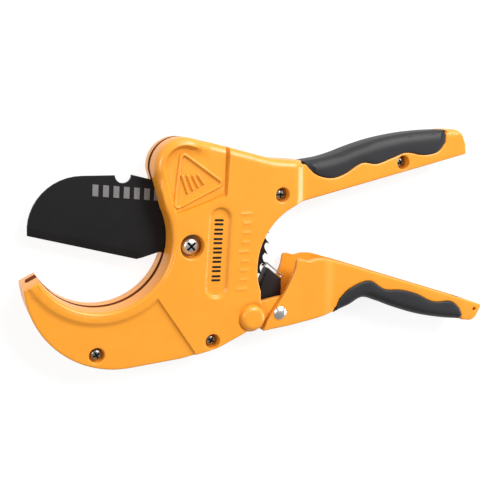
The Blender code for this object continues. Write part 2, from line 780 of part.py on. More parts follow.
def pawl(model, body, look, spring_look):
    points = outline(
        (46.6, -46.2, 4.0),
        (56.0, -46.2, 4.0),
        (56.6, -24.6, 1.0),
        (48.9, -17.8),
        (47.8, -18.6),
        (46.1, -22.4),
        (44.4, -25.6),
        (43.3, -29.0),
        (43.5, -31.4),
        (43.7, -36.6, 2.0),
    )
    made = model.keep(plate(points, 7.6, 15.0), "pawl", body, look)
    model.cut(made, cylinder(PAWL_AXIS, RIVET_RADIUS + CLEAR, 5, 18, 16))
    # A hairpin leaf spring lies on the pawl's back.
    leaf = outline(
        (57.2, -24.3), (58.4, -23.4, 0.7), (47.6, -13.9, 0.7), (45.2, -16.2), (45.8, -16.9),
        (47.9, -15.2), (57.3, -23.3), (56.8, -23.8),
    )
    model.keep(plate(leaf, 12.0, 14.6), "pawl_spring", body, spring_look)


# ---------------------------------------------------------------- assembly

def clear_scene():
    for stale in list(bpy.data.objects):
        bpy.data.objects.remove(stale, do_unlink=True)


def build():
    clear_scene()
    model = Model()
    paint = material("orange_paint", (0.86, 0.33, 0.03), 0.35)
    rubber = material("black_grip", (0.035, 0.035, 0.04), 0.55)
    coated = material("blade_coating", (0.02, 0.02, 0.022), 0.45, 0.2)
    steel = material("plated_steel", (0.62, 0.60, 0.56), 0.28, 1.0)
    dark = material("blackened_steel", (0.03, 0.03, 0.032), 0.5, 0.5)
    bronze = material("sintered_bronze", (0.45, 0.30, 0.14), 0.5, 1.0)

    root = model.empty("casing", (0, 0))
    swing = model.empty("blade_axis", (0, 0), root)
    lever = model.empty("handle_axis", HANDLE_AXIS, root)
    catch = model.empty("pawl_axis", PAWL_AXIS, lever)

    front_shell(model, root, paint)
    rear_shell(model, root, paint)
    fixed_grip(model, root, rubber)
    housing_screws(model, root, steel)
    pivot_fasteners(model, root, steel, steel)
    handle_pin(model, root, steel)
    return_spring(model, root, steel)
    blade(model, swing, coated, bronze)
    moving_handle(model, lever, paint, bronze)
    moving_grip(model, lever, rubber)
    pawl_rivet(model, lever, steel)
    pawl(model, catch, dark, steel)

    # The part's origin is the middle of its footprint, on the surface that it lies on.
    length_low, length_high = HOOK_CENTRE[0] - HOOK_RADIUS, 195.3
    width_low, width_high = -62.9, 59.2
    root.location = Vector((-(length_low + length_high) / 2, -(width_low + width_high) / 2, 0)) * MM


build()
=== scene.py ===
"""Visual model of the ratcheting pipe cutter, with its materials, studio light and camera.

Positions are millimetres from the blade's pivot axis (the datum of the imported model): X along the
tool, Y from the moving handle to the fixed one, Z from the back face up. Castings and grips are
relief meshes: a triangulated outline with one height above and one below each point.
"""
import json
import math

import bmesh
import bpy
import numpy as np
from mathutils import Matrix, Vector, kdtree
from mathutils.geometry import delaunay_2d_cdt


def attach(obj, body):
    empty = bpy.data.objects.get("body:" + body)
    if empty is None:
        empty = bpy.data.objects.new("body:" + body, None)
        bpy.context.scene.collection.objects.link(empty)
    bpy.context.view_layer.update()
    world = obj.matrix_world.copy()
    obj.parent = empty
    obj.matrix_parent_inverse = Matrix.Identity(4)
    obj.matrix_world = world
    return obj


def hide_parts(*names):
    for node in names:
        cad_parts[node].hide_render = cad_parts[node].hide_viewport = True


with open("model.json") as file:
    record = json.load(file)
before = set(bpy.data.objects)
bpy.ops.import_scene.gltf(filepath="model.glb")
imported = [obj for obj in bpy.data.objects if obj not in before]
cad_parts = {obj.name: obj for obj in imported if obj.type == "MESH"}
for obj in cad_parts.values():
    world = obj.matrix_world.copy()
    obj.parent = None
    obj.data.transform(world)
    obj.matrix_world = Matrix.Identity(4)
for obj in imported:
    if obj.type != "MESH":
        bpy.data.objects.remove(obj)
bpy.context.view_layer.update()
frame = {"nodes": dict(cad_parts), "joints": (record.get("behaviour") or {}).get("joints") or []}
MM = 0.001
PIVOT = next(j["pos_m"] for j in frame["joints"] if j["name"] == "blade_swing")
DATUM = Vector((PIVOT[0], PIVOT[1], 0.0))

# Heights, from the back face. A front height is the upper of a pair, a rear one the lower.
FACE = 25.0
HANDLE_FACE = 22.0
PARTING_FRONT = 10.65
PARTING_REAR = 10.35
SLOT_FRONT = 12.4
SLOT_REAR = 8.6
MOUTH_FRONT = 13.2
MOUTH_REAR = 6.0
HOOK_DROP = 1.3
MIDDLE = 12.5
HANDLE_MIDDLE = 13.5
CHANNEL_FACE = 24.5
LEVER_DROP = 1.6
FIXED_GRIP_FACE = 22.3
MOVING_GRIP_FACE = 24.1
EAR_ROOM_FRONT = 21.4
EAR_ROOM_REAR = 3.6
BLADE_MIDDLE = 10.5
BLADE_FACE = 11.5
PIVOT_LEDGE = 18.6
THINNEST_WALL = 0.4

# Axes and arcs in the plane of the tool.
HANDLE_AXIS = (34.2, -42.7)
PAWL_AXIS = (51.5, -41.8)
JAW_CENTRE = (-47.0, 5.5)
JAW_RADIUS = 36.3
HOOK_CENTRE = (-37.5, -13.5)
HOOK_RADIUS = 49.3
HEAD_CENTRE = (-2.8, 41.5)
HEAD_RADIUS = 15.9
BACK_CENTRE = (75.0, -16.0)
BACK_RADIUS = 37.4
BLADE_REACH = 82.8
TOOTH_TIP_RADIUS = 50.5
TOOTH_DEPTH = 2.7
TOOTH_PITCH = 7.0
TOOTH_COUNT = 11
FIRST_TOOTH = 2.5
POCKET_ENDS = ((13.4, -23.0), (16.0, 14.0))
POCKET_DEPTH = 1.6
# Where the hook's face steps down, and where its soft border along the jaw lies.
HOOK_STEP_TOP = (-18.9, -26.7)
HOOK_STEP_FOOT = (1.9, -60.3)
HOOK_STEP = ((0.0, 0.0), (0.2, 0.45), (0.7, 0.9), (1.4, 1.0))
HOOK_BORDER = ((5.0, 0.0), (5.8, 0.25), (6.8, 0.85), (8.4, 1.0))
# (x, fall) along the slopes from the casing to its handle, and from the channel to the lever.
HANDLE_SLOPE = ((59.5, 0.0), (61.0, 0.1), (62.2, 0.5), (65.6, 2.5), (66.8, 2.9), (68.5, 3.0))
LEVER_SLOPE = ((79.0, 0.0), (80.6, 0.08), (85.8, 0.92), (87.6, 1.0))

# Knots shared by several reliefs.
CUT = [(-0.02, 0.0), (0.02, 1.0)]
GUIDE = [(0.0, 0.0)]
BED = [(-0.8, 0.0), (-0.5, 0.06), (-0.15, 0.35), (0.0, 1.0)]

# Each screw's axis, the height of its ledge and the face that it is sunk in.
HOUSING_SCREWS = {
    "housing_screw_1": ((-52.4, -53.5), 20.0, FACE - HOOK_DROP),
    "housing_screw_2": ((10.8, -53.5), 20.0, FACE),
    "housing_screw_3": ((52.4, 25.0), 20.0, FACE),
    "housing_screw_4": ((131.9, 39.9), 16.5, HANDLE_FACE),
}


# ---------------------------------------------------------------- outlines

def polar(centre, radius, degrees):
    angle = math.radians(degrees)
    return (centre[0] + radius * math.cos(angle), centre[1] + radius * math.sin(angle))


def unit(vector):
    return vector / np.linalg.norm(vector)


def arc(centre, radius, start, end, facet=3.0):
    steps = max(2, math.ceil(abs(end - start) / facet))
    return [polar(centre, radius, start + (end - start) * i / steps) for i in range(steps + 1)]


def circle(centre, radius, facets=48):
    return [polar(centre, radius, 360 * i / facets) for i in range(facets)]


def fillet(before, corner, after, radius):
    """The arc that rounds one corner of a polygon."""
    corner_point = Vector(corner)
    to_before = (Vector(before) - corner_point).normalized()
    to_after = (Vector(after) - corner_point).normalized()
    half = to_before.angle(to_after) / 2
    reach = radius / math.tan(half)
    centre = corner_point + (to_before + to_after).normalized() * (radius / math.sin(half))
    first = corner_point + to_before * reach - centre
    last = corner_point + to_after * reach - centre
    turn = first.angle_signed(last)
    steps = max(3, math.ceil(abs(math.degrees(turn)) / 8))
    spins = [Matrix.Rotation(-turn * i / steps, 2) for i in range(steps + 1)]
    return [tuple(centre + spin @ first) for spin in spins]


def outline(*corners):
    """A closed polygon from (x, y) points and (x, y, radius) rounded corners, anticlockwise."""
    points = []
    for i, corner in enumerate(corners):
        if len(corner) == 2:
            points.append(corner)
            continue
        before = corners[i - 1]
        after = corners[(i + 1) % len(corners)]
        points.extend(fillet(before[:2], corner[:2], after[:2], corner[2]))
    return points


def curve_through(points, steps=8):
    """A smooth open curve through every point, as a Catmull-Rom spline."""
    padded = [points[0], *points, points[-1]]
    found = []
    for p0, p1, p2, p3 in zip(padded, padded[1:], padded[2:], padded[3:]):
        for i in range(steps):
            t = i / steps
            found.append(tuple(
                0.5 * (2 * b + (c - a) * t + (2 * a - 5 * b + 4 * c - d) * t ** 2
                       + (3 * b - a - 3 * c + d) * t ** 3)
                for a, b, c, d in zip(p0, p1, p2, p3)
            ))
    return found + [points[-1]]


def stadium(start, end, radius, facet=15.0):
    """A bar with round ends, anticlockwise."""
    tilt = math.degrees(math.atan2(end[1] - start[1], end[0] - start[0]))
    return (arc(start, radius, tilt + 90, tilt + 270, facet)
            + arc(end, radius, tilt - 90, tilt + 90, facet))


def resampled(points, spacing, closed=True):
    """The same line with its near-doubles dropped and no side longer than the spacing."""
    points = np.array(points, float)
    ends = np.roll(points, -1, 0) if closed else points[1:]
    starts = points if closed else points[:-1]
    found = []
    for a, b in zip(starts, ends):
        length = np.linalg.norm(b - a)
        if length < 1e-3:
            continue
        steps = max(1, math.ceil(length / spacing))
        found.extend(a + (b - a) * i / steps for i in range(steps))
    if not closed:
        found.append(points[-1])
    return np.array(found)


# ---------------------------------------------------------------- distances

def nearest(points, line, closed=True):
    """Each point's distance to the line, nearest side, share along it, and 1 if left of it."""
    chunk = 2000
    a = line if closed else line[:-1]
    b = np.roll(line, -1, 0) if closed else line[1:]
    d = b - a
    length2 = (d ** 2).sum(1)
    distance = np.empty(len(points))
    side = np.empty(len(points), int)
    share = np.empty(len(points))
    left = np.empty(len(points))
    for low in range(0, len(points), chunk):
        part = slice(low, low + chunk)
        p = points[part]
        rel = p[:, None] - a[None]
        t = np.clip((rel * d).sum(2) / length2, 0, 1)
        gap = rel - t[..., None] * d
        far = np.sqrt((gap ** 2).sum(2))
        best = far.argmin(1)
        rows = np.arange(len(p))
        distance[part] = far[rows, best]
        side[part] = best
        share[part] = t[rows, best]
        cross = d[best, 0] * rel[rows, best, 1] - d[best, 1] * rel[rows, best, 0]
        left[part] = np.sign(cross)
    return distance, side, share, left


def inside(points, line):
    x, y = points[:, 0][:, None], points[:, 1][:, None]
    a, b = line, np.roll(line, -1, 0)
    crosses = (a[:, 1] > y) != (b[:, 1] > y)
    rise = np.where(b[:, 1] == a[:, 1], 1e-12, b[:, 1] - a[:, 1])
    at = a[:, 0] + (y - a[:, 1]) * (b[:, 0] - a[:, 0]) / rise
    return ((crosses & (x < at)).sum(1) % 2) == 1


def normals_of(line, closed=True):
    """Normals to the left of the line, which is inwards on an anticlockwise outline."""
    ahead = np.roll(line, -1, 0) - line
    ahead /= np.maximum(np.linalg.norm(ahead, axis=1), 1e-9)[:, None]
    if not closed:
        ahead[-1] = ahead[-2]
    behind = np.roll(ahead, 1, 0)
    if not closed:
        behind[0] = ahead[0]
    both = ahead + behind
    both /= np.maximum(np.linalg.norm(both, axis=1), 1e-9)[:, None]
    cosine = np.clip((both * ahead).sum(1), 0.5, 1)
    return np.stack([-both[:, 1], both[:, 0]], 1) / cosine[:, None]


class Relief:
    """One raised or sunken line: heights by signed distance, positive inside or to its left.

    knots are (distance / width, height / depth) pairs. width and depth are numbers, or one for each
    point of the line.
    """

    def __init__(self, line, knots, width=1.0, depth=1.0, closed=True, spacing=1.0):
        if np.ndim(width) or np.ndim(depth):
            self.line = np.array(line, float)
        else:
            self.line = resampled(line, spacing, closed)
        self.closed = closed
        self.knots = knots
        self.width = np.broadcast_to(np.asarray(width, float), (len(self.line),))
        self.depth = np.broadcast_to(np.asarray(depth, float), (len(self.line),))

    def signed(self, points):
        distance, side, share, left = nearest(points, self.line, self.closed)
        sign = np.where(inside(points, self.line), 1, -1) if self.closed else left
        following = (side + 1) % len(self.line)
        width = self.width[side] * (1 - share) + self.width[following] * share
        depth = self.depth[side] * (1 - share) + self.depth[following] * share
        return distance * sign, width, depth

    def height(self, points):
        signed, width, depth = self.signed(points)
        at, value = zip(*self.knots)
        return depth * np.interp(signed / width, at, value)

    def rows(self):
        """Lines of points at each knot, where the true distance to the line is the knot's."""
        normal = normals_of(self.line, self.closed)
        found = []
        for at, _ in self.knots:
            offset = at * self.width
            row = self.line + normal * offset[:, None]
            distance = nearest(row, self.line, self.closed)[0]
            good = distance > np.abs(offset) - 0.02
            found.append((row, good, self.closed))
        return found


# ---------------------------------------------------------------- relief meshes

def triangulated(edge, reliefs, grid):
    """Points and triangles that fill the outline, with edges along every row of every relief."""
    points = [tuple(p) for p in edge]
    edges = [(i, (i + 1) % len(edge)) for i in range(len(edge))]
    for relief in reliefs:
        for row, good, closed in relief.rows():
            gap = nearest(row, edge)[0]
            good = good & inside(row, edge) & (gap > 0.02)
            first = len(points)
            index = -np.ones(len(row), int)
            for i in np.flatnonzero(good):
                index[i] = len(points)
                points.append(tuple(row[i]))
            ends = range(len(row)) if closed else range(len(row) - 1)
            for i in ends:
                j = (i + 1) % len(row)
                if index[i] >= first and index[j] >= first:
                    edges.append((int(index[i]), int(index[j])))
    tree = kdtree.KDTree(len(points))
    for i, (x, y) in enumerate(points):
        tree.insert((x, y, 0), i)
    tree.balance()
    low, high = edge.min(0), edge.max(0)
    rise = grid * math.sqrt(0.75)
    lattice = np.array([
        (x + (grid / 2 if row % 2 else 0), y)
        for row, y in enumerate(np.arange(low[1], high[1], rise))
        for x in np.arange(low[0], high[0], grid)
    ])
    lattice = lattice[inside(lattice, edge)]
    for x, y in lattice:
        if tree.find((x, y, 0))[2] > grid * 0.55:
            points.append((float(x), float(y)))
    flat, _, faces, *_ = delaunay_2d_cdt([Vector(p) for p in points], edges, [], 1, 1e-4)
    flat = np.array([tuple(v) for v in flat])
    faces = np.array([f for f in faces if len(f) == 3])
    centres = flat[faces].mean(1)
    faces = faces[inside(centres, edge)]
    a, b, c = flat[faces[:, 0]], flat[faces[:, 1]], flat[faces[:, 2]]
    area = (b - a)[:, 0] * (c - a)[:, 1] - (b - a)[:, 1] * (c - a)[:, 0]
    faces[area < 0] = faces[area < 0][:, ::-1]
    return flat, faces


def rim_edges(faces):
    """Directed edges that only one triangle uses, the outline's on its left."""
    directed = {}
    for a, b, c in faces:
        for edge in ((a, b), (b, c), (c, a)):
            directed[edge] = True
    return [edge for edge in directed if (edge[1], edge[0]) not in directed]


def solid(flat, faces, high, low, mirrored_at=None, inner=None):
    """A bmesh between two height fields.

    Mirrored, it keeps the side above that height and adds its twin below. inner is "high" or "low":
    the faces of that field take the piece's second material.
    """
    made = bmesh.new()
    above = [made.verts.new((x, y, z)) for (x, y), z in zip(flat, high)]
    below = [made.verts.new((x, y, z)) for (x, y), z in zip(flat, low)]
    for a, b, c in faces:
        made.faces.new((above[a], above[b], above[c])).material_index = int(inner == "high")
        on_middle = mirrored_at is not None and all(
            abs(low[i] - mirrored_at) < 1e-6 for i in (a, b, c))
        if not on_middle:
            made.faces.new((below[c], below[b], below[a])).material_index = int(inner == "low")
    for a, b in rim_edges(faces):
        made.faces.new((below[a], below[b], above[b], above[a]))
    loose = [v for v in made.verts if not v.link_faces]
    bmesh.ops.delete(made, geom=loose, context="VERTS")
    if mirrored_at is not None:
        geometry = made.verts[:] + made.edges[:] + made.faces[:]
        twin = bmesh.ops.duplicate(made, geom=geometry)["geom"]
        for v in twin:
            if isinstance(v, bmesh.types.BMVert):
                v.co.z = 2 * mirrored_at - v.co.z
        turned_over = [f for f in twin if isinstance(f, bmesh.types.BMFace)]
        bmesh.ops.reverse_faces(made, faces=turned_over)
        bmesh.ops.remove_doubles(made, verts=made.verts, dist=1e-5)
    return made


def rounding(steps=5):
    """Knots of a quarter circle that falls from the face to the side wall."""
    angles = [math.pi / 2 * i / steps for i in range(steps + 1)]
    return [(1 - math.cos(a), math.sin(a) - 1) for a in angles]


def sum_of(reliefs, points):
    total = np.zeros(len(points))
    for relief in reliefs:
        total += relief.height(points)
    return total


# ---------------------------------------------------------------- pieces

def piece(name, mesh, body, look, replaces=(), sharp=35, second=None):
    """Adds a mesh in datum millimetres as a piece that rides on a body.

    Clearing an empty list of materials would still reset the faces' indices, so it isn't done.
    """
    if isinstance(mesh, bmesh.types.BMesh):
        data = bpy.data.meshes.new(name)
        mesh.to_mesh(data)
        mesh.free()
    else:
        data = mesh
    data.transform(Matrix.Translation(DATUM) @ Matrix.Scale(MM, 4))
    if data.materials:
        data.materials.clear()
    data.materials.append(look)
    if second:
        data.materials.append(second)
    data.shade_smooth()
    data.set_sharp_from_angle(angle=math.radians(sharp))
    made = bpy.data.objects.new(name, data)
    bpy.context.scene.collection.objects.link(made)
    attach(made, body)
    if replaces:
        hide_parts(*replaces)
    return made


def plate(points, bottom, top, bevel=0.0, segments=3):
    """A flat plate in datum millimetres, its rims rounded."""
    made = bmesh.new()
    loop = [made.verts.new((x, y, bottom)) for x, y in points]
    face = made.faces.new(loop)
    face.normal_update()
    if face.normal.z > 0:
        face.normal_flip()
    grown = bmesh.ops.extrude_face_region(made, geom=[face])["geom"]
    for v in grown:
        if isinstance(v, bmesh.types.BMVert):
            v.co.z = top
    bmesh.ops.recalc_face_normals(made, faces=made.faces)
    if bevel:
        rims = [e for e in made.edges if abs(e.verts[0].co.z - e.verts[1].co.z) < 1e-6]
        bmesh.ops.bevel(made, geom=rims, offset=bevel, segments=segments, profile=0.5,
                        affect="EDGES", clamp_overlap=True)
    return made


def turned(profile, centre, steps=64):
    """A turned solid from (radius, z) points, listed from the top of the axis down the outside."""
    made = bmesh.new()
    rings = []
    for radius, z in profile:
        if radius == 0:
            rings.append([made.verts.new((*centre, z))])
        else:
            rings.append([made.verts.new((*polar(centre, radius, 360 * i / steps), z))
                          for i in range(steps)])
    for upper, lower in zip(rings, rings[1:]):
        for i in range(steps):
            j = (i + 1) % steps
            corners = [upper[i % len(upper)], lower[i % len(lower)],
                       lower[j % len(lower)], upper[j % len(upper)]]
            unique = list(dict.fromkeys(corners))
            if len(unique) > 2:
                made.faces.new(unique)
    bmesh.ops.recalc_face_normals(made, faces=made.faces)
    return made


def as_object(shape):
    data = bpy.data.meshes.new("shape")
    if isinstance(shape, bmesh.types.BMesh):
        shape.to_mesh(data)
        shape.free()
    made = bpy.data.objects.new("shape", data)
    bpy.context.scene.collection.objects.link(made)
    return made


def combined(base, others, operation):
    """The base with each other shape cut from it or joined to it, as a mesh."""
    target = as_object(base)
    helpers = [as_object(other) for other in others]
    for helper in helpers:
        step = target.modifiers.new("step", "BOOLEAN")
        step.operation = operation
        step.object = helper
    graph = bpy.context.evaluated_depsgraph_get()
    mesh = bpy.data.meshes.new_from_object(target.evaluated_get(graph))
    for spent in (target, *helpers):
        bpy.data.objects.remove(spent)
    return mesh


# ---------------------------------------------------------------- materials

def node(tree, kind, **inputs):
    made = tree.nodes.new("ShaderNode" + kind)
    for name, value in inputs.items():
        made.inputs[name].default_value = value
    return made


BROAD_SCALE = 60.0  # of the tones' noise, per metre


def finish_material(name, colour, other, roughness, grain, bump, metallic=0.0, specular=0.5):
    """A procedural finish: two tones mixed by a broad noise, roughness and bump from a fine one.

    roughness is (lowest, highest); grain is the fine noise's scale per metre; bump is its height in
    metres.
    """
    made = bpy.data.materials.new(name)
    made.use_nodes = True
    tree = made.node_tree
    shader = tree.nodes["Principled BSDF"]
    shader.inputs["Metallic"].default_value = metallic
    shader.inputs["Specular IOR Level"].default_value = specular
    place = node(tree, "TexCoord")
    broad = node(tree, "TexNoise", Scale=BROAD_SCALE, Detail=4.0, Roughness=0.6)
    fine = node(tree, "TexNoise", Scale=grain, Detail=3.0, Roughness=0.55)
    tones = node(tree, "ValToRGB")
    tones.color_ramp.elements[0].position = 0.35
    tones.color_ramp.elements[0].color = (*other, 1)
    tones.color_ramp.elements[1].position = 0.65
    tones.color_ramp.elements[1].color = (*colour, 1)
    span = tree.nodes.new("ShaderNodeMapRange")
    span.inputs["To Min"].default_value = roughness[0]
    span.inputs["To Max"].default_value = roughness[1]
    relief = node(tree, "Bump", Strength=1.0, Distance=bump)
    link = tree.links.new
    link(place.outputs["Object"], broad.inputs["Vector"])
    link(place.outputs["Object"], fine.inputs["Vector"])
    link(broad.outputs["Fac"], tones.inputs["Fac"])
    link(tones.outputs["Color"], shader.inputs["Base Color"])
    link(fine.outputs["Fac"], span.inputs["Value"])
    link(span.outputs["Result"], shader.inputs["Roughness"])
    link(fine.outputs["Fac"], relief.inputs["Height"])
    link(relief.outputs["Normal"], shader.inputs["Normal"])
    return made


def srgb(red, green, blue):
    """Linear colour from screen values of 0 to 255."""
    return tuple(
        v / 12.92 if v <= 0.04045 else ((v + 0.055) / 1.055) ** 2.4
        for v in (c / 255 for c in (red, green, blue))
    )


PAINT = finish_material("orange_enamel", srgb(222, 144, 42), srgb(219, 140, 38), (0.28, 0.36),
                        900, 0.000008, specular=0.42)
# Dark brown on the faces inside the slot and on the parting faces between the halves: painted shade
# where the halves close on each other.
SLOT_SHADE = finish_material("painted_slot_shade", srgb(112, 54, 16), srgb(98, 46, 13), (0.5, 0.6),
                       1200, 0.00001, specular=0.3)
RUBBER = finish_material("black_rubber", srgb(25, 25, 28), srgb(21, 21, 24), (0.50, 0.60),
                         2600, 0.00002, specular=0.4)
COATED = finish_material("blade_black", srgb(23, 22, 23), srgb(19, 18, 19), (0.45, 0.55),
                         1800, 0.000008, specular=0.18)
CHROME = finish_material("bright_plating", srgb(225, 224, 220), srgb(214, 212, 208),
                         (0.14, 0.22), 1500, 0.000004, metallic=1.0)
PIVOT_FINISH = finish_material("satin_plating", srgb(222, 221, 218), srgb(206, 205, 202),
                               (0.30, 0.40), 1500, 0.000008, metallic=1.0)
STEEL = finish_material("zinc_plating", srgb(150, 147, 140), srgb(132, 128, 122), (0.26, 0.38),
                        1500, 0.000008, metallic=1.0)
DARK = finish_material("blackened_steel", srgb(30, 25, 24), srgb(25, 21, 20), (0.35, 0.5),
                       1500, 0.00001, specular=0.35)
# Near-black for the inside of the screws' cross recesses: painted shade.
RECESS_SHADE = finish_material("painted_recess_shade", srgb(14, 14, 14), srgb(10, 10, 10), (0.5, 0.6),
                         1500, 0.000004, specular=0.2)
BRONZE = finish_material("sintered_bronze", srgb(176, 138, 88), srgb(150, 116, 74), (0.4, 0.55),
                         2400, 0.00001, metallic=1.0)
MARK_GREY = finish_material("grey_print", srgb(116, 114, 114), srgb(108, 106, 106), (0.45, 0.55),
                            1800, 0.000004, specular=0.3)
MARK_BLACK = finish_material("black_print", srgb(20, 18, 17), srgb(16, 15, 14), (0.4, 0.5),
                             1800, 0.000004, specular=0.3)


# ---------------------------------------------------------------- casing

def casing_outline():
    return outline(
        *arc(HOOK_CENTRE, HOOK_RADIUS, 182, 272),
        (-6.0, -61.3, 60.0),
        (13.5, -58.0, 30.0),
        *arc(HANDLE_AXIS, 8.2, -108, 30),
        (39.6, -33.5, 3.0),
        *arc(BACK_CENTRE, BACK_RADIUS, 199, 101),
        (177.4, 43.7, 1.5),
        (176.4, 49.6),
        (172.2, 58.9, 6.5),
        (162.4, 58.5),
        (162.0, 56.2),
        *curve_through([(160.0, 56.0), (134.0, 54.2), (113.0, 51.2), (96.0, 46.6), (84.0, 42.8),
                        (72.0, 41.2), (66.4, 41.0)], 4),
        (65.8, 43.2),
        (48.0, 44.6, 30.0),
        (14.0, 53.9, 40.0),
        *arc(HEAD_CENTRE, HEAD_RADIUS, 80, 184),
        *arc(JAW_CENTRE, JAW_RADIUS, 24, -152),
    )


def smoothed(values, reach):
    """The running mean of a closed line's values, over this many neighbours on each side."""
    kernel = np.ones(2 * reach + 1) / (2 * reach + 1)
    return np.convolve(np.concatenate([values[-reach:], values, values[:reach]]), kernel, "valid")


def rim_radius(line):
    """How wide the rounded edge is at each point of the casing's outline."""
    sharp, narrow, jaw_rim, wide, head_rim = 1.0, 1.2, 1.8, 4.0, 4.2
    x, y = line[:, 0], line[:, 1]
    radius = np.full(len(line), sharp)
    radius[(y > 40) & (x > -2)] = wide
    radius[np.hypot(x - JAW_CENTRE[0], y - JAW_CENTRE[1]) < JAW_RADIUS + 0.3] = jaw_rim
    head = np.hypot(x - HEAD_CENTRE[0], y - HEAD_CENTRE[1]) < HEAD_RADIUS + 0.3
    radius[head & (x < -2)] = head_rim
    radius = smoothed(radius, 2)
    under_grip = (y > 40.5) & (x > 66.2) & (x < 162.1)
    radius[under_grip] = narrow
    end = x > 164
    radius[end] = np.interp(x[end], (170.0, 174.0), (wide, sharp))
    underside = (x > 60) & (y < 25.6 + 0.2164 * (x - 67.2))
    radius[underside] = narrow
    return radius


CASING = resampled(casing_outline(), 1.1)
FIXED_GRIP_TOP = [(161.6, 58.4), (148.0, 58.0), (132.0, 56.6), (115.0, 53.8), (100.0, 49.8),
                  (90.0, 46.6), (80.0, 44.2), (66.8, 42.6)]
FIXED_GRIP_WAVE = [(66.2, 43.0), (74.0, 35.4), (84.0, 32.7), (93.0, 34.8), (104.0, 40.5),
                   (114.0, 39.7), (125.0, 43.0), (134.0, 45.6), (146.0, 43.9), (156.0, 45.4),
                   (161.3, 51.0)]


def fixed_grip_outline():
    return curve_through(FIXED_GRIP_TOP, 6) + curve_through(FIXED_GRIP_WAVE, 8)


def slot_region():
    """Everything the blade sweeps, as one outline."""
    return outline(
        (-60.0, 30.0),
        (-88.0, 20.0),
        *arc((0, 0), BLADE_REACH + 0.8, 174, 216.8),
        (-6.0, -34.0, 4.0),
        *arc((0, 0), TOOTH_TIP_RADIUS + 0.9, 262, 440),
        (-6.0, 62.0),
        (-60.0, 70.0),
    )


def ear_region():
    """The room between the casing's halves for the handle's two ears."""
    return outline(
        *arc(HANDLE_AXIS, 7.6, 110, 250),
        (36.0, -60.0),
        (62.0, -60.0),
        (62.0, -20.0),
        (36.0, -20.0),
    )


def hole(centre, radius, depth):
    """A counterbore with a rounded rim."""
    line = circle(centre, radius)
    return Relief(line, [(-0.7, 0.0), (-0.35, 0.05), (-0.1, 0.22), (0.0, 0.5), (0.03, depth)],
                  depth=-1.0)


# The sunken field on the head: its corner, its walls' far ends, and knots by distance to a wall
# and to the casing's outline.
HEAD_CORNER = np.array((19.8, 26.0))
HEAD_WALLS = (np.array((22.3, 56.5)), np.array((-10.0, 16.2)))
HEAD_STEP = ((-0.12, 0.0), (0.0, 0.1), (0.25, 1.15), (0.55, 1.35), (0.95, 1.25), (1.5, 1.0))
HEAD_BORDER = ((3.9, 0.0), (4.6, 0.3), (5.7, 0.82), (8.5, 1.0))


def head_distances(points):
    """How far each point is left of the sunken field's right wall, and above its lower one."""
    found = []
    for end, side in zip(HEAD_WALLS, (1, -1)):
        along = unit(end - HEAD_CORNER)
        rel = points - HEAD_CORNER
        found.append(side * (along[0] * rel[:, 1] - along[1] * rel[:, 0]))
    return found


def head_lowering(points):
    """The sunken field on the head: two straight walls, and a soft border along the rounded rim."""
    right, below = head_distances(points)
    step = np.interp(np.minimum(right, below), *zip(*HEAD_STEP))
    border = np.interp(nearest(points, CASING)[0], *zip(*HEAD_BORDER))
    # Towards the right the field runs out through the rim, so the border fades there.
    open_end = np.clip((points[:, 0] - 2.0) / 10.0, 0, 1)
    depth = 1.3 + 0.035 * np.maximum(right, 0) + 0.045 * (points[:, 1] - HEAD_CORNER[1])
    return -depth * step * np.maximum(border, open_end)


def head_rows():
    """Lines of points along the walls and the border of the sunken field."""
    mitre = 0.8
    made = []
    for end, side in zip(HEAD_WALLS, (1, -1)):
        along = unit(end - HEAD_CORNER)
        across = np.array((-along[1], along[0])) * side
        for offset, _ in HEAD_STEP:
            start = HEAD_CORNER + (across + along * mitre) * offset
            made.append(Relief([start, end + across * offset], GUIDE, closed=False))
    border = arc(HEAD_CENTRE, HEAD_RADIUS, 75, 184) + arc(JAW_CENTRE, JAW_RADIUS, 24, 5)
    for offset, _ in HEAD_BORDER:
        made.append(Relief(border, [(offset, 0.0)], closed=False))
    return made


def front_marks():
    """Raised and sunken signs on the head, none of them lettering."""
    triangle = outline((-4.2, 49.9, 1.8), (-9.2, 20.2, 1.8), (18.6, 32.8, 1.8))
    bead = [(-1.05, 0.0), (-0.6, 0.8), (-0.2, 1.0), (0.2, 1.0), (0.6, 0.8), (1.05, 0.0)]
    rib = [(-0.15, 0.0), (0.2, 0.8), (0.6, 1.0)]
    tick = [(-0.2, 0.0), (0.4, 1.0)]
    made = [Relief(triangle, bead, depth=1.2)]
    for i in range(4):
        low = (-1.6 + 2.9 * i, 28.9 + 1.5 * i)
        high = (low[0] - 2.6, low[1] + 8.6 - 1.5 * i)
        made.append(Relief(stadium(low, high, 0.8), rib, depth=1.15))
    top_tick = 16.0
    for i in range(9):
        y = top_tick - 5.2 * i
        x = 33.2 - 0.07 * (top_tick - y)
        reach = 5.4 if i % 4 == 0 else 3.2
        made.append(Relief(stadium((x - reach, y), (x, y), 0.45), tick, depth=0.28))
    return made


def pocket():
    """The sunken stadium beside the pivot screw."""
    wall = [(-0.45, 0.0), (0.0, 0.12), (0.6, 0.7), (1.2, 0.96), (1.7, 1.0)]
    return Relief(stadium(*POCKET_ENDS, 6.2, 8.0), wall, depth=-POCKET_DEPTH)


def boss():
    """The cap over the handle's pivot, with the shallow moat around it."""
    line = np.array(circle(HANDLE_AXIS, 8.0, 60))
    return Relief(line, [(-1.8, 0.0), (-0.8, -0.2), (0.2, -0.7), (0.65, -0.85), (0.75, -0.4),
                         (1.0, 0.7), (1.4, 1.35), (2.0, 1.85), (2.6, 2.15), (3.2, 2.34),
                         (3.7, 2.4)])


